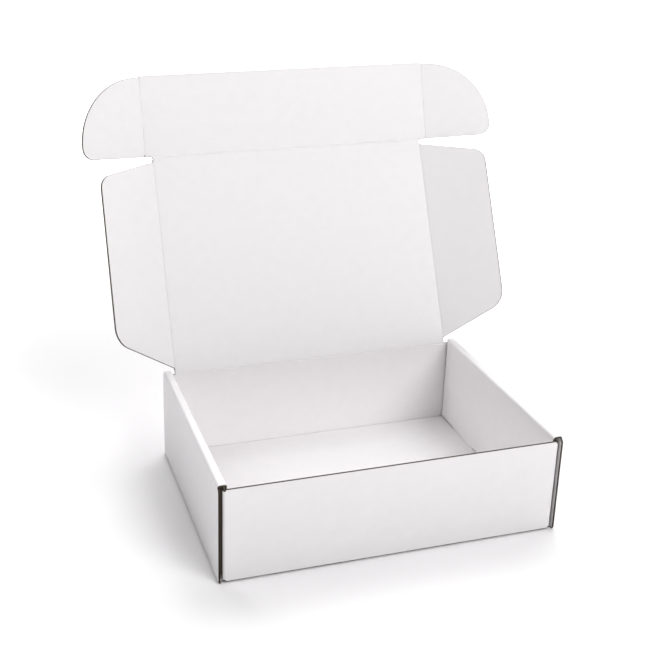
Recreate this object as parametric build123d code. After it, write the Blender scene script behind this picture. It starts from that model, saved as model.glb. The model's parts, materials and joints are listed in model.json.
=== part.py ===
"""Roll-end mailer box: one die-cut sheet of thin corrugated board, standing open.

The origin is the middle of the tray's underside. X runs along the front wall, +Y points to the
hinged back wall and +Z is up. Every flap turns about the crease line on the board's inner face,
so a fold to the inside opens a wedge on the outside and nothing runs into its neighbour.
"""
import os
from math import cos, radians, sin, tan

from build123d import *

# ---- driving dimensions (mm, degrees) ----
board = 1.6              # thickness of the corrugated board
fold_radius = 2.0        # outside radius of a square fold

tray_length = 268.0      # outside, over both rolled side walls
tray_depth = 187.8       # outside, front wall to back wall
wall_height = 76.6       # front wall, and the middle of the lid's crease
side_rise = 3.2          # the rolled side walls stand this far above the front wall

ear_slot = 2.0           # room between an outer side wall and the corner flap
layer_gap = 0.2          # between layers that lie against each other
roll_recess = 2.0        # a roll's top and inner wall stop short of the tray's ends
end_chamfer = 3.0        # cut corner at the outer side wall's upper ends

corner_flap_length = 60.0
corner_flap_foot = 2.6   # lower edge of a corner flap above the table
corner_flap_drop = 1.2   # upper edge of a corner flap below the front wall's top

tab_length = 38.0        # tongues under the inner walls, seated in slots in the floor
tab_spacing = 96.0
tab_lift = 0.3           # the tongue's tip above the underside
slot_clearance = 0.2

crease_band = 2.4        # pressed band between back wall and lid, bending along both edges
crease_bevel = 24.0      # the board's edges beside the band give way this far on the outside
crease_gap = 0.05        # between two panels at a crease

closed_front_gap = 0.5   # closed, the front flap's inner face to the front wall
lid_side_gap = 3.2       # lid panel's side crease to the face of the inner wall
lid_lean = 25.2          # lid behind upright

side_flap_width = 57.5
side_flap_rear_gap = 3.3     # root of the flap, from the crease band
side_flap_front_gap = 4.2    # root of the flap, from the front flap's crease
side_flap_rear_taper = 24.2
side_flap_front_taper = 14.5
side_flap_rear_radius = 19.0
side_flap_front_radius = 12.0
left_flap_fold = 29.1
right_flap_fold = 35.6

front_flap_stop = 6.9    # the front flap is this much shorter than the wall it covers
front_flap_fold = 8.3
free_edge_gap = 0.4      # cut edges beside the front crease stand back from it

ear_width = 59.2
ear_step = 1.3           # the ear's top edge below the front flap's
ear_shoulder = 6.0       # straight run at the ear's top before it rounds off
ear_side = 14.0          # height at which the large round meets the outer side
ear_arc_radius = 57.5
ear_corner_radius = 9.5
left_ear_fold = 21.8
right_ear_fold = 16.4

# ---- places that follow from them ----
half_length = tray_length / 2
half_depth = tray_depth / 2
side_height = wall_height + side_rise
corner_face = half_length - board - ear_slot                 # outer face of the corner flaps
inner_wall_face = corner_face - 2 * board - layer_gap        # face seen from inside the tray
roll_width = half_length - inner_wall_face
half_lid = inner_wall_face - lid_side_gap
half_front_flap = corner_face + (ear_slot - board) / 2       # folded ears run in the slot's middle
hinge_y = half_depth - board
hinge_z = wall_height - crease_band / 2
lid_start = hinge_y - crease_band * sin(radians(45))         # upper edge of the closed crease band
lid_length = lid_start + half_depth + closed_front_gap       # crease band to the front flap's crease
front_flap_height = wall_height - front_flap_stop
ear_height = front_flap_height - ear_step
bevel_run = board * tan(radians(crease_bevel))


def quarter_fold(corner_x, corner_y, turn):
    """A fold's section: a quarter ring inside the corner, turned in steps of 90 degrees."""
    ring = Circle(fold_radius) - Circle(fold_radius - board)
    quarter = ring & Pos(fold_radius / 2, fold_radius / 2) * Rectangle(fold_radius, fold_radius)
    quarter = Rot(0, 0, turn) * quarter
    outward_x, outward_y = {0: (1, 1), 90: (-1, 1), 180: (-1, -1), 270: (1, -1)}[turn]
    return Pos(corner_x - outward_x * fold_radius, corner_y - outward_y * fold_radius) * quarter


def block(x_range, y_range, z_range):
    """A box between two limits along each axis."""
    size = [high - low for low, high in (x_range, y_range, z_range)]
    middle = [(high + low) / 2 for low, high in (x_range, y_range, z_range)]
    return Pos(*middle) * Box(*size)


def along_x(section, x_range):
    """A section drawn in (y, z), run along X."""
    face = Plane(origin=(x_range[0], 0, 0), x_dir=(0, 1, 0), z_dir=(1, 0, 0)) * section
    return extrude(face, amount=x_range[1] - x_range[0])


def along_y(section, y_range):
    """A section drawn in (x, z), run along Y."""
    face = Plane(origin=(0, y_range[1], 0), x_dir=(1, 0, 0), z_dir=(0, -1, 0)) * section
    return extrude(face, amount=y_range[1] - y_range[0])


def floor_panel():
    """The bottom, with a slot for each tongue of the inner walls."""
    reach_x = half_length - fold_radius
    reach_y = half_depth - fold_radius
    panel = block((-reach_x, reach_x), (-reach_y, reach_y), (0, board))
    slot_half = tab_length / 2 + slot_clearance
    slot_inside = inner_wall_face - slot_clearance
    slot_outside = inner_wall_face + board + slot_clearance
    for side in (-1, 1):
        for tab_y in (-tab_spacing / 2, tab_spacing / 2):
            x_range = sorted((side * slot_inside, side * slot_outside))
            panel -= block(x_range, (tab_y - slot_half, tab_y + slot_half), (-1, board + 1))
    return panel


def end_wall(end):
    """Front (-1) or back (+1) wall, with its two corner flaps folded along the sides."""
    width = corner_face - fold_radius
    outer = end * half_depth
    inner = end * (half_depth - board)
    section = quarter_fold(outer, 0, 180 if end < 0 else 270)
    if end < 0:
        top = [(inner, wall_height), (outer, wall_height)]
    else:
        top = [(inner, hinge_z - crease_gap), (outer, hinge_z - crease_gap - bevel_run)]
    section += make_face(Polyline((outer, fold_radius), (inner, fold_radius), *top, close=True))
    wall = along_x(section, (-width, width))

    z_range = (corner_flap_foot, (wall_height if end < 0 else hinge_z) - corner_flap_drop)
    flap_start = outer - end * fold_radius
    flap_end = outer - end * corner_flap_length
    for side in (-1, 1):
        turn = {(1, 1): 0, (-1, 1): 90, (-1, -1): 180, (1, -1): 270}[(side, end)]
        fold = Pos(0, 0, z_range[0]) * quarter_fold(side * corner_face, outer, turn)
        wall += extrude(fold, amount=z_range[1] - z_range[0], dir=(0, 0, 1))
        x_range = sorted((side * corner_face, side * (corner_face - board)))
        wall += block(x_range, sorted((flap_start, flap_end)), z_range)
    return wall


def side_wall(side):
    """Outer wall, narrow top and inner wall: the board rolled over the corner flaps."""
    face = side * half_length
    inside = side * inner_wall_face
    lower = fold_radius
    upper = side_height - fold_radius
    outer_section = quarter_fold(face, 0, 270 if side > 0 else 180)
    wall_x = face - side * board / 2
    outer_section += Pos(wall_x, (lower + upper) / 2) * Rectangle(board, upper - lower)
    outer = along_y(outer_section, (-half_depth, half_depth))
    for end in (-1, 1):
        corner = Pos(wall_x, end * half_depth, upper) * Rot(45, 0, 0)
        outer -= corner * Box(2 * board, end_chamfer, end_chamfer)

    reach = half_depth - roll_recess
    top_x = face - side * roll_width / 2
    roll_section = quarter_fold(face, side_height, 0 if side > 0 else 90)
    roll_section += quarter_fold(inside, side_height, 90 if side > 0 else 0)
    top_width = roll_width - 2 * fold_radius
    roll_section += Pos(top_x, side_height - board / 2) * Rectangle(top_width, board)
    foot = board + layer_gap
    inner_x = inside + side * board / 2
    roll_section += Pos(inner_x, (foot + upper) / 2) * Rectangle(board, upper - foot)
    roll = along_y(roll_section, (-reach, reach))
    x_range = sorted((inside, inside + side * board))
    for tab_y in (-tab_spacing / 2, tab_spacing / 2):
        y_range = (tab_y - tab_length / 2, tab_y + tab_length / 2)
        roll += block(x_range, y_range, (tab_lift, foot))
    return outer + roll


def tray():
    """The standing part of the sheet: floor, four walls, rolls and corner flaps."""
    body = floor_panel()
    for end in (-1, 1):
        body += end_wall(end)
    for side in (-1, 1):
        body += side_wall(side)
    return body


def hinge_band():
    """The pressed band between back wall and lid, in its own frame."""
    section = make_face(
        Polyline(
            (crease_gap, 0),
            (crease_band - crease_gap, 0),
            (crease_band - crease_gap - bevel_run, -board),
            (crease_gap + bevel_run, -board),
            close=True,
        )
    )
    return along_x(section, (-half_lid, half_lid))


def lid_panel():
    """The flat top, in its own frame: the crease band at Y 0, the inner face at Z 0."""
    section = make_face(
        Polyline(
            (crease_gap, 0),
            (lid_length - crease_gap, 0),
            (lid_length - crease_gap, -board),
            (crease_gap + bevel_run, -board),
            close=True,
        )
    )
    return along_x(section, (-half_lid + crease_gap, half_lid - crease_gap))


def side_flap(side):
    """A tapered flap in its own frame, with its crease on the Y axis."""
    rear = side_flap_rear_gap
    front = lid_length - side_flap_front_gap
    rear_corner = rear + side_flap_width * tan(radians(side_flap_rear_taper))
    front_corner = front - side_flap_width * tan(radians(side_flap_front_taper))
    outline = FilletPolyline(
        (side * crease_gap, rear),
        (side * side_flap_width, rear_corner),
        (side * side_flap_width, front_corner),
        (side * crease_gap, front),
        radius=[side_flap_rear_radius, side_flap_front_radius],
    )
    root = Line((side * crease_gap, front), (side * crease_gap, rear))
    return board_from(make_face(outline + root))


def front_flap():
    """The flap that hangs in front of the front wall, in its own frame."""
    outline = Polyline(
        (-half_lid, crease_gap),
        (half_lid, crease_gap),
        (half_lid, free_edge_gap),
        (half_front_flap - crease_gap, free_edge_gap),
        (half_front_flap - crease_gap, front_flap_height),
        (-half_front_flap + crease_gap, front_flap_height),
        (-half_front_flap + crease_gap, free_edge_gap),
        (-half_lid, free_edge_gap),
        close=True,
    )
    return board_from(make_face(outline))


def ear(side):
    """A rounded locking ear in its own frame, with its crease on the Y axis."""
    corner = ear_corner_radius
    bend = corner * (1 - cos(radians(45)))
    low = free_edge_gap
    foot = (side * (ear_width - corner), low)
    outer = (side * ear_width, low + corner)
    knee = (side * (ear_width - bend), low + bend)
    start = (side * ear_shoulder, ear_height)
    finish = (side * ear_width, ear_side)
    half_chord = ((ear_width - ear_shoulder) ** 2 + (ear_height - ear_side) ** 2) ** 0.5 / 2
    rise = ear_arc_radius - (ear_arc_radius**2 - half_chord**2) ** 0.5
    crown = (
        (start[0] + finish[0]) / 2 + side * rise * (ear_height - ear_side) / (2 * half_chord),
        (start[1] + finish[1]) / 2 + rise * (ear_width - ear_shoulder) / (2 * half_chord),
    )
    root = side * crease_gap
    outline = Line((root, low), foot) + ThreePointArc(foot, knee, outer) + Line(outer, finish)
    outline += ThreePointArc(finish, crown, start) + Line(start, (root, ear_height))
    outline += Line((root, ear_height), (root, low))
    return board_from(make_face(outline))


def board_from(face):
    """The board behind a flat outline whose inner face is at Z 0, whichever way it was drawn."""
    return extrude(face, amount=board, dir=(0, 0, -1))


# ---- where each crease stands in the open box ----
band_place = Pos(0, hinge_y, hinge_z) * Rot(90 - lid_lean / 2, 0, 0)
lid_place = band_place * Pos(0, crease_band, 0) * Rot(-lid_lean / 2, 0, 0)
left_flap_place = lid_place * Pos(-half_lid, 0, 0) * Rot(0, left_flap_fold, 0)
right_flap_place = lid_place * Pos(half_lid, 0, 0) * Rot(0, -right_flap_fold, 0)
front_flap_place = lid_place * Pos(0, lid_length, 0) * Rot(front_flap_fold, 0, 0)
left_ear_place = front_flap_place * Pos(-half_front_flap, 0, 0) * Rot(0, left_ear_fold, 0)
right_ear_place = front_flap_place * Pos(half_front_flap, 0, 0) * Rot(0, -right_ear_fold, 0)

pieces = {
    "tray": tray(),
    "lid_crease": band_place * hinge_band(),
    "lid_panel": lid_place * lid_panel(),
    "left_side_flap": left_flap_place * side_flap(-1),
    "right_side_flap": right_flap_place * side_flap(1),
    "front_flap": front_flap_place * front_flap(),
    "left_ear": left_ear_place * ear(-1),
    "right_ear": right_ear_place * ear(1),
}

os.makedirs("parts", exist_ok=True)
for name, shape in pieces.items():
    export_step(shape, f"parts/{name}.step")
    print(name, f"{len(shape.solids())} solid, {shape.volume:.0f} mm3")

places = {
    "lower lid bend": band_place,
    "upper lid bend": lid_place,
    "left side flap": left_flap_place,
    "right side flap": right_flap_place,
    "front flap": front_flap_place,
    "left ear": left_ear_place,
    "right ear": right_ear_place,
}
for name, place in places.items():
    print(name, "crease at", [round(value, 3) for value in place.position])
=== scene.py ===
import json
import math

import bmesh
import bpy
from mathutils import Matrix, Vector


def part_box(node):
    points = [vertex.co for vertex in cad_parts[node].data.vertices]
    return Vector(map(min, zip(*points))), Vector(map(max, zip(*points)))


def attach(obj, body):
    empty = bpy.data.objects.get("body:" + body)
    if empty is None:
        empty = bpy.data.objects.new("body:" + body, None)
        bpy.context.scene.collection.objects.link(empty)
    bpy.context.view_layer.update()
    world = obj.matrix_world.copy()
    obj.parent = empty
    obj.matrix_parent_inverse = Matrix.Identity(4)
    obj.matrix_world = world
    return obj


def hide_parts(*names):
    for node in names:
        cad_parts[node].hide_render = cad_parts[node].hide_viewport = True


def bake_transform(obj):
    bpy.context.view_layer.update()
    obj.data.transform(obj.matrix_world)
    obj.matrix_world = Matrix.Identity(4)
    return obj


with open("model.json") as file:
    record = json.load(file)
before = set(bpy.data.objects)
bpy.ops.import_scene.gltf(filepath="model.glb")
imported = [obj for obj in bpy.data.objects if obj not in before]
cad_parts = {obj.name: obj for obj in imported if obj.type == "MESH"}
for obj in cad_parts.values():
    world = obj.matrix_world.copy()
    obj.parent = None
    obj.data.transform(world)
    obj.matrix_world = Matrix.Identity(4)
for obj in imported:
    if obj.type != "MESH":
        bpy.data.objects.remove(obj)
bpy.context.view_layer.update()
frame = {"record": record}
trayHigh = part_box("tray")[1]
joints = {joint["name"]: joint for joint in frame["record"]["behaviour"]["joints"]}
print("frame loaded")

# E flute board: two thin white liners glued to the crests of a wavy brown medium
board = {
    "thick": 0.0016,
    "liner": 0.00022,
    "medium": 0.00015,
    "flutePitch": 0.0033,       # crest to crest
    "stepsPerFlute": 6,
    "setback": 0.00015,         # the die leaves the medium this far behind the liners
    "crushed": 0.0003,          # along a cut, the liner is crushed and shows its rim
    "glue": 0.00001,            # the medium's crests sink this far into the liners
    "arcSteps": 9,              # per radian of a rounded corner
    "sharpEdge": 40,            # degrees, from which an edge is shaded as one
    "nearly": 0.00001,
}
# a square fold, as in the tray's walls
fold = {"inside": 0.0004, "outside": 0.002, "steps": 8, "margin": 0.0004}
# a pressed line where the lid and its flaps bend
crease = {
    "half": 0.002,
    "bandHalf": 0.0012,
    "pressed": 0.0005,
    "pressedHalf": 0.0009,
    "lowerPressed": 0.0005,     # the two edges of the lid's crease band
    "upperPressed": 0.00015,
    "steps": 16,
}
# what a face of the board shows, in the order of its materials
cleanFace, cutRim, mediumAndSlotShade, paintedContactShade = range(4)


def roundedOutline(corners):
    # corners are (x, y, radius), and a radius turns its corner into an arc
    points = []
    for index, (x, y, radius) in enumerate(corners):
        corner = Vector((x, y))
        if not radius:
            points.append(corner)
            continue
        before = (Vector(corners[index - 1][:2]) - corner).normalized()
        after = (Vector(corners[(index + 1) % len(corners)][:2]) - corner).normalized()
        halfAngle = before.angle(after) / 2
        centre = corner + (before + after).normalized() * radius / math.sin(halfAngle)
        start = corner + before * radius / math.tan(halfAngle) - centre
        end = corner + after * radius / math.tan(halfAngle) - centre
        sweep = math.atan2(start.cross(end), start.dot(end))
        steps = max(3, round(abs(sweep) * board["arcSteps"]))
        turns = [sweep * step / steps for step in range(steps + 1)]
        points += [centre + Matrix.Rotation(turn, 2) @ start for turn in turns]
    return points


def arcBetween(start, end, radius, steps):
    # points of a circle from start to end, bulging to the right of that direction, ends left out
    start, end = Vector(start), Vector(end)
    halfChord = (end - start).length / 2
    across = (end - start).orthogonal().normalized()
    centre = (start + end) / 2 + across * math.sqrt(radius**2 - halfChord**2)
    first, last = start - centre, end - centre
    sweep = math.atan2(first.cross(last), first.dot(last))
    return [centre + Matrix.Rotation(sweep * step / steps, 2) @ first for step in range(1, steps)]


def mirrored(corners, side):
    # the same outline on the left (-1) or right (1) of the sheet
    return [(side * corner[0], *corner[1:]) for corner in corners]


def spread(start, end, steps):
    return [start + (end - start) * step / steps for step in range(steps + 1)]


def cutLines(bm, axis, places):
    # edges straight across the sheet, where it is to bend
    for place in places:
        point, normal = Vector(), Vector()
        point[axis], normal[axis] = place, 1
        everything = bm.verts[:] + bm.edges[:] + bm.faces[:]
        bmesh.ops.bisect_plane(bm, geom=everything, dist=1e-7, plane_co=point, plane_no=normal)


def crushCuts(bm, seams):
    # a narrow band of rim along the cut edges, in the rim's colour with its painted shade, but not
    # where the next piece of the sheet carries on
    near = board["nearly"]
    ring = bmesh.ops.inset_region(bm, faces=bm.faces[:], thickness=board["crushed"], use_boundary=True)
    for face in ring["faces"]:
        edge = next(edge for edge in face.edges if edge.is_boundary)
        first, last = edge.verts[0].co, edge.verts[1].co
        joined = any(abs(first[axis] - at) + abs(last[axis] - at) < near for axis, at in seams)
        face.material_index = cleanFace if joined else cutRim


def cutFlat(outline, holes, setback, linesX, linesY, seams=None):
    # one layer's outline as flat faces, with its holes
    bm = bmesh.new()
    bm.faces.new([bm.verts.new((x, y, 0)) for x, y in outline])
    bm.normal_update()
    if bm.faces[:][0].normal.z < 0:
        bmesh.ops.reverse_faces(bm, faces=bm.faces[:])
    if setback:
        ring = bmesh.ops.inset_region(bm, faces=bm.faces[:], thickness=setback, use_boundary=True)
        bmesh.ops.delete(bm, geom=ring["faces"], context="FACES")
    if seams:
        crushCuts(bm, seams)
    bmesh.ops.triangulate(bm, faces=bm.faces[:], ngon_method="EAR_CLIP")
    for lowX, highX, lowY, highY in holes:
        cutLines(bm, 0, (lowX - setback, highX + setback))
        cutLines(bm, 1, (lowY - setback, highY + setback))
    cutLines(bm, 0, linesX)
    cutLines(bm, 1, linesY)
    gone = []
    for face in bm.faces:
        middle = face.calc_center_median()
        for lowX, highX, lowY, highY in holes:
            if lowX < middle.x + setback and middle.x - setback < highX:
                if lowY < middle.y + setback and middle.y - setback < highY:
                    gone.append(face)
    bmesh.ops.delete(bm, geom=gone, context="FACES")
    return bm


def thicken(bm, depth):
    # a closed layer from the flat faces, growing towards the outside of the box
    pushed = bmesh.ops.extrude_face_region(bm, geom=bm.faces[:], use_keep_orig=True)
    moved = [item for item in pushed["geom"] if isinstance(item, bmesh.types.BMVert)]
    bmesh.ops.translate(bm, verts=moved, vec=(0, 0, -depth))
    bmesh.ops.recalc_face_normals(bm, faces=bm.faces[:])


def addLayer(sheet, layer):
    mesh = bpy.data.meshes.new("layer")
    layer.to_mesh(mesh)
    layer.free()
    sheet.from_mesh(mesh)
    bpy.data.meshes.remove(mesh)


def layUp(outline, holes=(), linesX=(), linesY=(), seams=None):
    # the board lying flat, inner face at z 0: liner, fluted medium, liner
    thick, liner, medium = board["thick"], board["liner"], board["medium"]
    sheet = bmesh.new()
    for top in (0, liner - thick):
        layer = cutFlat(outline, holes, 0, linesX, linesY, seams)
        bmesh.ops.translate(layer, verts=layer.verts[:], vec=(0, 0, top))
        thicken(layer, liner)
        shown = 1 if top == 0 else -1
        for face in layer.faces:
            if round(face.normal.z) != shown:
                face.material_index = cutRim
        addLayer(sheet, layer)
    pitch = board["flutePitch"]
    step = pitch / board["stepsPerFlute"]
    lowest, highest = min(y for x, y in outline), max(y for x, y in outline)
    rows = [row * step for row in range(math.ceil(lowest / step), math.floor(highest / step) + 1)]
    layer = cutFlat(outline, holes, board["setback"], linesX, sorted(rows + list(linesY)))
    swing = (thick - 2 * liner - medium) / 2 + board["glue"]
    for vert in layer.verts:
        vert.co.z = (medium - thick) / 2 + swing * math.sin(math.tau * vert.co.y / pitch)
    thicken(layer, medium)
    for face in layer.faces:
        face.material_index = mediumAndSlotShade
    addLayer(sheet, layer)
    blank = sheet.verts.layers.float_vector.new("blank")
    for vert in sheet.verts:
        vert[blank] = vert.co
    return sheet


def press(sheet, axis, place, depth=None, belongs=None):
    # the creasing rule sinks the inner liner towards the outer one
    blank = sheet.verts.layers.float_vector["blank"]
    depth = depth or crease["pressed"]
    for vert in sheet.verts:
        away = abs(vert[blank][axis] - place) / crease["pressedHalf"]
        if away < 1 and (belongs is None or belongs(vert[blank])):
            sunk = depth * (1 + math.cos(math.pi * away)) / 2
            vert.co.z -= sunk * (1 + vert.co.z / board["thick"])


def foldSquare(sheet, start, across, length, belongs):
    # what lies past start goes a quarter turn inwards, round a small inside radius
    blank = sheet.verts.layers.float_vector["blank"]
    start, across = Vector(start), Vector(across)
    centre = start + Vector((0, 0, fold["inside"]))
    axis = across.cross((0, 0, 1))
    for vert in sheet.verts:
        flat = vert[blank]
        past = (flat - start).dot(across)
        if past > 0 and belongs(flat):
            used = min(past, length)
            turn = Matrix.Rotation(math.radians(90) * used / length, 3, axis)
            vert.co = centre + turn @ (vert.co - across * used - centre)


def bendCrease(sheet, pivot, across, angle, half):
    # the sheet turns smoothly by an angle, inwards if positive, on both sides of the pivot line
    blank = sheet.verts.layers.float_vector["blank"]
    pivot, across = Vector(pivot), Vector(across)
    axis = across.cross((0, 0, 1))
    for vert in sheet.verts:
        share = min(max(((vert[blank] - pivot).dot(across) + half) / (2 * half), 0), 1)
        share = share * share * (3 - 2 * share)
        vert.co = pivot + Matrix.Rotation(angle * share, 3, axis) @ (vert.co - pivot)


def finishSheet(sheet, name, place):
    # into the box's own frame, with its shading and its finish
    bmesh.ops.transform(sheet, matrix=place, verts=sheet.verts[:])
    sheet.normal_update()
    for face in sheet.faces:
        face.smooth = True
    for edge in sheet.edges:
        edge.smooth = edge.calc_face_angle(0) < math.radians(board["sharpEdge"])
    mesh = bpy.data.meshes.new(name)
    sheet.to_mesh(mesh)
    sheet.free()
    piece = bpy.data.objects.new(name, mesh)
    bpy.context.collection.objects.link(piece)
    for material in finishes:
        mesh.materials.append(material)
    return piece


def linear(code):
    values = [int(code[index : index + 2], 16) / 255 for index in (1, 3, 5)]
    return [value / 12.92 if value <= 0.04045 else ((value + 0.055) / 1.055) ** 2.4 for value in values]


def addNode(tree, kind, inputs=None, **settings):
    # an input takes a value or the socket that feeds it
    node = tree.nodes.new(kind)
    for name, value in settings.items():
        setattr(node, name, value)
    for name, value in (inputs or {}).items():
        if isinstance(value, bpy.types.NodeSocket):
            tree.links.new(value, node.inputs[name])
        else:
            node.inputs[name].default_value = value
    return node


def newMaterial(name, roughness):
    material = bpy.data.materials.new(name)
    material.use_nodes = True
    tree = material.node_tree
    shader = tree.nodes["Principled BSDF"]
    shader.inputs["Roughness"].default_value = roughness
    return material, tree, shader


def noiseScale(millimetres):
    return 1 / (millimetres * 0.001)


# how the paper's two patterns mix, the same for every ply
pulp = {
    "cloudDetail": 3.0,
    "fibreDetail": 4.0,
    "fibreRoughness": 0.65,
    "darkest": 0.7,
    "lightest": 1.3,
}
waveRate = 20                   # a Wave texture runs through this many radians per unit and scale


def paperFinish(name, look):
    # pulp paper: cloudy formation, fine fibres felted into the face, no gloss
    material, tree, shader = newMaterial(name, look["roughness"])
    blank = addNode(tree, "ShaderNodeAttribute", attribute_name="blank").outputs["Vector"]
    cloud = addNode(tree, "ShaderNodeTexNoise", {
        "Vector": blank,
        "Scale": noiseScale(look["cloud"]),
        "Detail": pulp["cloudDetail"],
    })
    stretched = addNode(tree, "ShaderNodeMapping", {"Vector": blank, "Scale": (look["grain"], 1, 1)})
    fibre = addNode(tree, "ShaderNodeTexNoise", {
        "Vector": stretched.outputs["Vector"],
        "Scale": noiseScale(look["fibre"]),
        "Detail": pulp["fibreDetail"],
        "Roughness": pulp["fibreRoughness"],
    })
    blend = addNode(tree, "ShaderNodeMath", {
        0: cloud.outputs["Fac"],
        1: fibre.outputs["Fac"],
    }, operation="ADD")
    ramp = addNode(tree, "ShaderNodeMapRange", {
        "Value": blend.outputs[0],
        "From Min": pulp["darkest"],
        "From Max": pulp["lightest"],
    })
    # inputs 6 and 7 are the colours it mixes
    colour = addNode(tree, "ShaderNodeMix", {
        "Factor": ramp.outputs["Result"],
        6: (*linear(look["dark"]), 1),
        7: (*linear(look["light"]), 1),
    }, data_type="RGBA")
    tree.links.new(colour.outputs[2], shader.inputs["Base Color"])
    height = fibre.outputs["Fac"]
    if look["washboard"]:
        # the liner sinks a little between the crests it is glued to
        wave = addNode(tree, "ShaderNodeTexWave", {
            "Vector": blank,
            "Scale": math.tau / waveRate / board["flutePitch"],
        }, bands_direction="Y", wave_profile="SIN")
        height = addNode(tree, "ShaderNodeMath", {
            0: wave.outputs["Fac"],
            1: look["washboard"],
            2: height,
        }, operation="MULTIPLY_ADD").outputs[0]
    bump = addNode(tree, "ShaderNodeBump", {
        "Height": height,
        "Strength": look["bump"],
        "Distance": look["relief"],
    })
    tree.links.new(bump.outputs["Normal"], shader.inputs["Normal"])
    return material


# bleached kraft liner, calendered: near white, matt, faintly cloudy
linerLook = {
    "dark": "#EDEBEC",
    "light": "#F0EEEF",
    "roughness": 0.62,
    "cloud": 9.0,               # mm
    "grain": 0.35,
    "fibre": 0.9,               # coarser than real fibre, which would be too fine to show
    "washboard": 0.5,
    "bump": 0.2,
    "relief": 0.00002,
}
# the liner's own cut rim: the white ply is thin and greyer pulp shows below it, and the colour is
# painted darker than that pulp as shade along the cut edges
rimLook = {
    "dark": "#544B3F",
    "light": "#716656",
    "roughness": 0.9,
    "cloud": 3.0,
    "grain": 0.35,
    "fibre": 0.3,
    "washboard": 0,
    "bump": 0.5,
    "relief": 0.00004,
}
# recycled fluting medium: rough grey-brown paper, its colour darker than bare pulp as painted shade at
# the cut edges; the same finish is painted as shade on the corner flaps deep in the corner slots
mediumLook = {
    "dark": "#4A4238",
    "light": "#6C6152",
    "roughness": 0.95,
    "cloud": 2.0,
    "grain": 0.35,
    "fibre": 0.3,
    "washboard": 0,
    "bump": 0.6,
    "relief": 0.00005,
}
# painted contact shadow: the outer liner greyed along the lower part of each bottom fold
paintedContactShadeLook = {
    "dark": "#7F7B78",
    "light": "#94908C",
    "roughness": 0.85,
    "cloud": 5.0,
    "grain": 0.35,
    "fibre": 0.5,
    "washboard": 0,
    "bump": 0.3,
    "relief": 0.00002,
}
finishes = [
    paperFinish("bleachedKraftLiner", linerLook),
    paperFinish("cutLinerRim", rimLook),
    paperFinish("flutingMedium", mediumLook),
    paperFinish("scuffedLiner", paintedContactShadeLook),
]
print("materials made")

# the tray, cut flat in the sheet's own plane and folded up
tray = {
    "earSlot": 0.002,           # between an outer side wall and the corner flap
    "layerGap": 0.0002,
    "rollRecess": 0.002,
    "endChamfer": 0.00212,
    "frontHeight": 0.0766,
    "cornerFlapLength": 0.06,
    "cornerFlapFoot": 0.0026,   # past the end of the side wall it is cut beside
    "cornerFlapDrop": 0.0012,
    "tabLength": 0.038,
    "tabSpacing": 0.096,
    "tabLift": 0.0003,
    "slotClearance": 0.0002,
    "edgeSlack": 0.0001,        # so that a face right at a fold's end counts as part of it
    "footGap": 0.0008,          # an inner side wall stands this far off the floor
    "footCornerGap": 0.0003,    # more room at an inner wall's ends
    "topCornerGap": 0.0009,
    "scuffStart": 0.1,          # the share of a bottom fold, from the floor up, painted grey as contact shadow
    "scuffEnd": 0.86,
    "floorGroove": 0.0007,      # the creasing rule's mark where the floor meets a wall
}
thick = board["thick"]
wrap = (fold["inside"] + fold["outside"]) / 2 * math.pi / 2     # sheet used up by a square fold
halfLength, halfDepth, sideHeight = trayHigh.x, trayHigh.y, trayHigh.z
cornerFace = halfLength - thick - tray["earSlot"]
innerFace = cornerFace - 2 * thick - tray["layerGap"]
hinge = Vector(joints["lid_lower_bend"]["pos_m"])
upperBend = Vector(joints["lid_upper_bend"]["pos_m"])

floorX = halfLength - fold["outside"]
floorY = halfDepth - fold["outside"]
wallX = cornerFace - fold["outside"]
wallY = floorY + wrap - fold["outside"]     # a wall's point at height z lies at wallY + z
sideX = floorX + wrap - fold["outside"]
sideTop = sideX + sideHeight - fold["outside"]
rollTop = sideTop + wrap
rollEnd = rollTop + halfLength - innerFace - 2 * fold["outside"]
innerTop = rollEnd + wrap
footX = innerTop + sideHeight - fold["outside"] - thick - tray["layerGap"]
tabX = innerTop + sideHeight - fold["outside"] - tray["tabLift"]
flapX = wallX + wrap + tray["cornerFlapLength"] - fold["outside"]
hingeY = wallY + hinge.z
bandHalf, creaseHalf = crease["bandHalf"], crease["half"]


def trayQuarter(end):
    # from the middle of the right side to the middle of one wall's top, for the front (-1) or back (1)
    if end < 0:
        top = tray["frontHeight"]
        flapTop = top - tray["cornerFlapDrop"]
    else:
        top = hinge.z - bandHalf
        flapTop = hinge.z - tray["cornerFlapDrop"]
    rollY = halfDepth - tray["rollRecess"]
    foot = footX - tray["footGap"]
    near = tray["tabSpacing"] / 2 - tray["tabLength"] / 2
    far = tray["tabSpacing"] / 2 + tray["tabLength"] / 2
    corners = [
        (foot, near),
        (tabX, near),
        (tabX, far),
        (foot, far),
        (foot, rollY - tray["footCornerGap"]),
        (innerTop, rollY - tray["topCornerGap"]),
        (innerTop, rollY),
        (sideTop, rollY),
        (sideTop, halfDepth - tray["endChamfer"]),
        (sideTop - tray["endChamfer"], halfDepth),
        (floorX, halfDepth),
        (floorX, floorY),
        (wallX, floorY),
        (wallX, wallY + tray["cornerFlapFoot"]),
        (flapX, wallY + tray["cornerFlapFoot"]),
        (flapX, wallY + flapTop),
    ]
    if end < 0:
        corners.append((wallX, wallY + flapTop))
    corners.append((wallX, wallY + top))
    return [(x, end * y) for x, y in corners]


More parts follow.
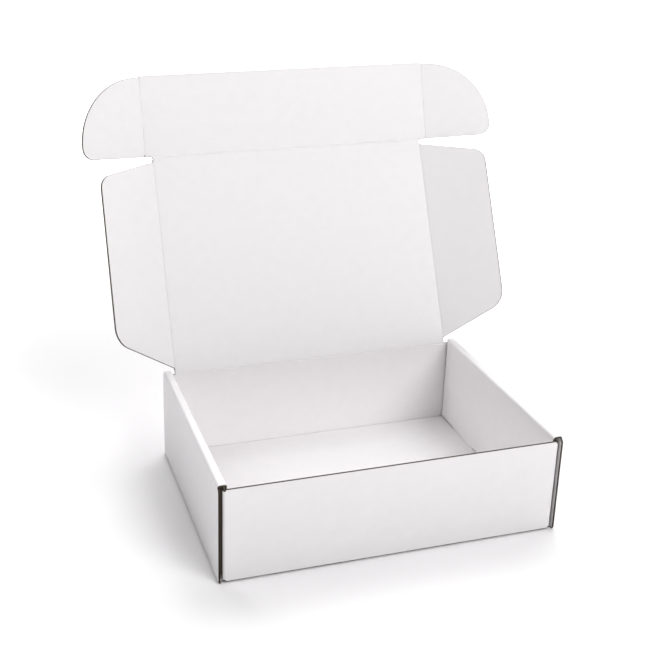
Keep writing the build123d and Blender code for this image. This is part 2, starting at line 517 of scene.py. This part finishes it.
def shadeTray(sheet):
    # which faces show something other than the clean liner
    blank = sheet.verts.layers.float_vector["blank"]
    slack, flapFoot = tray["edgeSlack"], wallY + tray["cornerFlapFoot"]
    for face in sheet.faces:
        middle = sum((vert[blank] for vert in face.verts), Vector()) / len(face.verts)
        x, y, outer = abs(middle.x), abs(middle.y), middle.z < -thick / 2
        if face.material_index == cleanFace and outer:
            # painted shade: the medium's dark finish deep in the corner slots, and a grey line of
            # painted contact shadow along the bottom folds
            sideFold = (x - floorX) / wrap if y < halfDepth else 0
            endFold = (y - floorY) / wrap if x < wallX else 0
            # painted shade: the corner flap's outer face inside each slot takes the medium's dark
            # finish
            if y > halfDepth and x > wallX + wrap:
                face.material_index = mediumAndSlotShade
            # painted contact shadow on the lower part of each bottom fold
            elif any(tray["scuffStart"] < share < tray["scuffEnd"] for share in (sideFold, endFold)):
                face.material_index = paintedContactShade
        elif wallX - slack < x < floorX and floorY - 2 * slack < y < flapFoot + slack:
            # the little corner under each slot takes the clean liner's white on all its faces, cut
            # faces too
            face.material_index = cleanFace


def foldLines(start):
    end = start + wrap
    return [start - fold["margin"], *spread(start, end, fold["steps"]), end + fold["margin"]]


def tabSlots():
    # the floor's slots for the inner walls' tabs, as (low x, high x, low y, high y)
    halfSlot = tray["tabLength"] / 2 + tray["slotClearance"]
    near, far = innerFace - tray["slotClearance"], innerFace + thick + tray["slotClearance"]
    slots = []
    for middle in (-tray["tabSpacing"] / 2, tray["tabSpacing"] / 2):
        slots.append((near, far, middle - halfSlot, middle + halfSlot))
        slots.append((-far, -near, middle - halfSlot, middle + halfSlot))
    return slots


def isSide(flat):
    return abs(flat.y) <= halfDepth


def isCornerFlap(flat):
    return abs(flat.y) > halfDepth


def isEndWall(flat):
    return abs(flat.x) < wallX + tray["edgeSlack"]


def isEnd(flat):
    return isEndWall(flat) or isCornerFlap(flat)


def makeTray():
    right = trayQuarter(-1)[::-1] + trayQuarter(1)
    linesX, linesY = [], []
    for start in (wallX, floorX, sideTop, rollEnd):
        linesX += foldLines(start)
    linesX = [-place for place in linesX] + linesX
    for end in (-1, 1):
        linesY += [end * place for place in foldLines(floorY)]
    sheet = layUp(right + mirrored(right[::-1], -1), tabSlots(), linesX, linesY)
    for end in (-1, 1):
        press(sheet, 1, end * (floorY + wrap / 2), tray["floorGroove"], isEndWall)
    for side in (-1, 1):
        for start in (rollEnd, sideTop, floorX):
            foldSquare(sheet, (side * start, 0, 0), (side, 0, 0), wrap, isSide)
        foldSquare(sheet, (side * wallX, 0, 0), (side, 0, 0), wrap, isCornerFlap)
    for end in (-1, 1):
        foldSquare(sheet, (0, end * floorY, 0), (0, end, 0), wrap, isEnd)
    shadeTray(sheet)
    piece = finishSheet(sheet, "tray_board", Matrix.Translation((0, 0, thick)))
    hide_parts("tray")
    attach(piece, "tray")
    print("tray folded", len(piece.data.polygons))


makeTray()

# where each panel lies, from the sheet's own plane
frontFlap = {"height": 0.0697, "edgeGap": 0.0004, "notchRadius": 0.0022}
lidDirection = Vector(joints["left_side_flap_fold"]["axis"])
frontDirection = Vector(joints["left_ear_fold"]["axis"])
leanBack = math.atan2(lidDirection.y, lidDirection.z)
frontLean = math.atan2(frontDirection.y, frontDirection.z)
halfLid = joints["right_side_flap_fold"]["pos_m"][0]
halfFront = joints["right_ear_fold"]["pos_m"][0]
frontCrease = Vector(joints["front_flap_fold"]["pos_m"])
upperY = hingeY + (upperBend - hinge).length
frontY = upperY + (frontCrease - upperBend).length
endY = frontY + frontFlap["height"]


def standing(position, lean, sheetY):
    # a panel that leans back from upright, hinged at a crease of the sheet
    turn = Matrix.Rotation(math.radians(90) - lean, 4, "X")
    return Matrix.Translation(position) @ turn @ Matrix.Translation((0, -sheetY, 0))


def folded(place, pivotX, angle):
    # the place of a panel that turns by an angle about a crease along the sheet's Y
    toPivot = Matrix.Translation((pivotX, 0, 0))
    return place @ toPivot @ Matrix.Rotation(angle, 4, "Y") @ toPivot.inverted()


def restFold(name):
    # how far a flap is folded in at rest, because its lower limit is flat
    return -math.radians(joints[name]["range_deg"][0])


backPlace = standing(hinge, 0, hingeY)
bandPlace = standing(hinge, leanBack / 2, hingeY)
lidPlace = standing(upperBend, leanBack, upperY)
frontPlace = standing(frontCrease, frontLean, frontY)


def blendAcross(piece):
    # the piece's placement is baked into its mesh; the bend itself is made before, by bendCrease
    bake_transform(piece)


# lines where one piece of the lid carries on from the next, as (axis, place)
lidSeams = [(1, frontY - creaseHalf), (1, frontY + creaseHalf)]
for middle in (hingeY, upperY):
    lidSeams += [(1, middle - bandHalf), (1, middle + bandHalf)]
for middle in (halfLid, -halfLid, halfFront, -halfFront):
    lidSeams += [(0, middle - creaseHalf), (0, middle + creaseHalf)]


def creaseLines(middle, half):
    # the first and last line are just inside the strip's own edges
    low, high = middle - half, middle + half
    return [low + board["nearly"], *spread(low, high, crease["steps"])[1:-1], high - board["nearly"]]


def makeCreaseBand():
    # the lid bends along both edges of a narrow pressed band
    outline = [
        (wallX, hingeY - bandHalf),
        (wallX, hingeY),
        (halfLid, hingeY),
        (halfLid, hingeY + bandHalf),
    ]
    outline += mirrored(outline[::-1], -1)
    sheet = layUp(outline, linesY=creaseLines(hingeY, bandHalf), seams=lidSeams)
    press(sheet, 1, hingeY, crease["lowerPressed"])
    bendCrease(sheet, (0, hingeY, 0), (0, 1, 0), -leanBack / 2, bandHalf)
    lower = finishSheet(sheet, "lower_lid_crease", backPlace)
    blendAcross(lower)
    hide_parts("lid_crease")

    outline = [(halfLid, upperY - bandHalf), (halfLid, upperY + bandHalf)]
    outline += mirrored(outline[::-1], -1)
    sheet = layUp(outline, linesY=creaseLines(upperY, bandHalf), seams=lidSeams)
    press(sheet, 1, upperY, crease["upperPressed"])
    bendCrease(sheet, (0, upperY, 0), (0, 1, 0), -leanBack / 2, bandHalf)
    upper = finishSheet(sheet, "upper_lid_crease", bandPlace)
    blendAcross(upper)
    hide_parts("lid_crease")


makeCreaseBand()
print("lid hinge made")

# the lid and its side flaps
lidStart, lidEnd = upperY + bandHalf, frontY - creaseHalf


def rectangle(halfWidth, low, high):
    return [(-halfWidth, low), (halfWidth, low), (halfWidth, high), (-halfWidth, high)]


def makeLid():
    outline = rectangle(halfLid - creaseHalf, lidStart, lidEnd)
    lid = finishSheet(layUp(outline, seams=lidSeams), "lid_board", lidPlace)
    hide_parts("lid_panel")
    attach(lid, "lid")


def hangFlap(side, name, place, fromMiddle, crossing, body):
    # a flap at a crease along the sheet's Y: the crease's strip bends, the board turns
    angle = restFold(name + "_fold")
    middle = side * fromMiddle
    outline = roundedOutline(mirrored(crossing, side))
    sheet = layUp(outline, linesX=creaseLines(middle, creaseHalf), seams=lidSeams)
    press(sheet, 0, middle)
    bendCrease(sheet, (middle, 0, 0), (side, 0, 0), angle, creaseHalf)
    strip = finishSheet(sheet, name + "_crease", place)
    blendAcross(strip)
    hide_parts(name)
    turned = folded(place, middle, -side * angle)
    panel = finishSheet(layUp(mirrored(body, side), seams=lidSeams), name + "_board", turned)
    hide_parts(name)
    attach(panel, name)


sideFlap = {
    "width": 0.0575,
    "rearGap": 0.0033,
    "frontGap": 0.0042,
    "rearTaper": 24.2,          # degrees
    "frontTaper": 14.5,
    "rearRadius": 0.019,
    "frontRadius": 0.012,
    "notchRadius": 0.0014,      # where the cut turns into the lid's side
}


def makeSideFlap(side, name):
    rear, front = upperY + sideFlap["rearGap"], frontY - sideFlap["frontGap"]
    rearSlope = math.tan(math.radians(sideFlap["rearTaper"]))
    frontSlope = math.tan(math.radians(sideFlap["frontTaper"]))
    width, notch = sideFlap["width"], sideFlap["notchRadius"]
    root = halfLid + creaseHalf
    rearRoot, frontRoot = rear + creaseHalf * rearSlope, front - creaseHalf * frontSlope
    crossing = [
        (halfLid - creaseHalf, lidStart, 0),
        (halfLid, lidStart, 0),
        (halfLid, rear, notch),
        (root, rearRoot, 0),
        (root, frontRoot, 0),
        (halfLid, front, notch),
        (halfLid, lidEnd, 0),
        (halfLid - creaseHalf, lidEnd, 0),
    ]
    body = roundedOutline([
        (root, rearRoot, 0),
        (halfLid + width, rear + width * rearSlope, sideFlap["rearRadius"]),
        (halfLid + width, front - width * frontSlope, sideFlap["frontRadius"]),
        (root, frontRoot, 0),
    ])
    hangFlap(side, name, lidPlace, halfLid, crossing, body)


makeLid()
makeSideFlap(-1, "left_side_flap")
makeSideFlap(1, "right_side_flap")
print("lid and side flaps made")


# the front flap and its two locking ears
def makeFrontFlap():
    free = frontY + frontFlap["edgeGap"]
    crossing = [
        (halfLid, frontY - creaseHalf, 0),
        (halfLid, free, frontFlap["notchRadius"]),
        (halfFront, free, 0),
        (halfFront, frontY + creaseHalf, 0),
    ]
    crossing += mirrored(crossing[::-1], -1)
    sheet = layUp(roundedOutline(crossing), linesY=creaseLines(frontY, creaseHalf), seams=lidSeams)
    press(sheet, 1, frontY)
    bendCrease(sheet, (0, frontY, 0), (0, 1, 0), leanBack - frontLean, creaseHalf)
    strip = finishSheet(sheet, "front_flap_crease", lidPlace)
    blendAcross(strip)
    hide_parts("front_flap")
    outline = rectangle(halfFront - creaseHalf, frontY + creaseHalf, endY)
    panel = finishSheet(layUp(outline, seams=lidSeams), "front_flap_board", frontPlace)
    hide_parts("front_flap")
    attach(panel, "front_flap")


ear = {
    "width": 0.0592,
    "height": 0.0684,
    "shoulder": 0.006,
    "side": 0.014,
    "arcRadius": 0.0575,
    "arcSteps": 24,
    "cornerRadius": 0.0095,
}


def makeEar(side, name):
    low, high = frontY + frontFlap["edgeGap"], frontY + ear["height"]
    root, outer = halfFront + creaseHalf, halfFront + ear["width"]
    crossing = [
        (halfFront - creaseHalf, frontY + creaseHalf, 0),
        (halfFront, frontY + creaseHalf, 0),
        (halfFront, low, 0),
        (root, low, 0),
        (root, high, 0),
        (halfFront, high, 0),
        (halfFront, endY, 0),
        (halfFront - creaseHalf, endY, 0),
    ]
    shoulder = (halfFront + ear["shoulder"], high)
    knee = (outer, frontY + ear["side"])
    foot = roundedOutline([(root, low, 0), (outer, low, ear["cornerRadius"]), (*knee, 0)])
    crown = arcBetween(knee, shoulder, ear["arcRadius"], ear["arcSteps"])
    body = [*foot, *crown, shoulder, (root, high)]
    hangFlap(side, name, frontPlace, halfFront, crossing, body)


makeFrontFlap()
makeEar(-1, "left_ear")
makeEar(1, "right_ear")
print("front flap and ears made")

# the studio
studio = {
    "floorSize": 16.0,
    "floor": "#FBFAFB",
    "floorRoughness": 0.8,
    "floorGlow": 0.95,          # far from the box, so the paper stays white where the lights fade
    "glowStart": 0.2,
    "glowEnd": 1.5,
    "world": "#FFFFFF",
    "worldStrength": 0.02,
    "worldSeen": 1.0,
}
lights = {
    # name: azimuth from the front towards the right, elevation, power
    "keyFront": (25, 40, 32.5),
    "keyRight": (45, 55, 9.0),
    "left": (-90, 50, 18.6),
    "back": (180, 55, 22.0),
    "backRight": (135, 55, 27.8),
}
softbox = {"distance": 2.6, "size": 1.6}
camera = {
    "position": (-0.2971, -0.7357, 0.4947),
    "yaw": 15.35,               # to the right of +Y
    "pitch": -19.585,
    "roll": 0.214,
    "lens": 59.35,
    "sensor": 36,
    "shift": (0.1459, -0.1375),
}


def makeFloor():
    bm = bmesh.new()
    bmesh.ops.create_grid(bm, x_segments=1, y_segments=1, size=studio["floorSize"] / 2)
    mesh = bpy.data.meshes.new("studio_floor")
    bm.to_mesh(mesh)
    bm.free()
    floor = bpy.data.objects.new("studio_floor", mesh)
    bpy.context.collection.objects.link(floor)
    material, tree, shader = newMaterial("floorPaper", studio["floorRoughness"])
    shader.inputs["Base Color"].default_value = (*linear(studio["floor"]), 1)
    shader.inputs["Specular IOR Level"].default_value = 0.0
    place = addNode(tree, "ShaderNodeTexCoord")
    away = addNode(tree, "ShaderNodeVectorMath", {0: place.outputs["Object"]}, operation="LENGTH")
    glow = addNode(tree, "ShaderNodeMapRange", {
        "Value": away.outputs["Value"],
        "From Min": studio["glowStart"],
        "From Max": studio["glowEnd"],
        "To Max": studio["floorGlow"],
    }, interpolation_type="SMOOTHSTEP")
    shader.inputs["Emission Color"].default_value = (1, 1, 1, 1)
    tree.links.new(glow.outputs["Result"], shader.inputs["Emission Strength"])
    mesh.materials.append(material)


def makeWorld():
    # white where it is seen, and almost no light of its own
    world = bpy.data.worlds.new("studio")
    world.use_nodes = True
    background = world.node_tree.nodes["Background"]
    background.inputs["Color"].default_value = (*linear(studio["world"]), 1)
    ray = addNode(world.node_tree, "ShaderNodeLightPath")
    strength = addNode(world.node_tree, "ShaderNodeMapRange", {
        "Value": ray.outputs["Is Camera Ray"],
        "To Min": studio["worldStrength"],
        "To Max": studio["worldSeen"],
    })
    world.node_tree.links.new(strength.outputs["Result"], background.inputs["Strength"])
    bpy.context.scene.world = world


def makeLights():
    for name, (azimuth, elevation, power) in lights.items():
        light = bpy.data.lights.new(name, "AREA")
        light.shape, light.size, light.energy = "DISK", softbox["size"], power
        lamp = bpy.data.objects.new(name, light)
        bpy.context.collection.objects.link(lamp)
        across, up = math.radians(azimuth), math.radians(elevation)
        level = math.cos(up)
        toLight = Vector((math.sin(across) * level, -math.cos(across) * level, math.sin(up)))
        lamp.location = toLight * softbox["distance"]
        lamp.rotation_euler = toLight.to_track_quat("Z", "Y").to_euler()


def makeCamera():
    data = bpy.data.cameras.new("camera")
    data.lens = camera["lens"]
    data.sensor_width = camera["sensor"]
    data.shift_x, data.shift_y = camera["shift"]
    viewer = bpy.data.objects.new("camera", data)
    bpy.context.collection.objects.link(viewer)
    viewer.location = camera["position"]
    turn = Matrix.Rotation(-math.radians(camera["yaw"]), 3, "Z")
    turn = turn @ Matrix.Rotation(math.radians(90 + camera["pitch"]), 3, "X")
    viewer.rotation_euler = (turn @ Matrix.Rotation(math.radians(camera["roll"]), 3, "Z")).to_euler()
    bpy.context.scene.camera = viewer


makeFloor()
makeWorld()
makeLights()
makeCamera()
bpy.context.scene.view_settings.view_transform = "Standard"
print("studio lit")
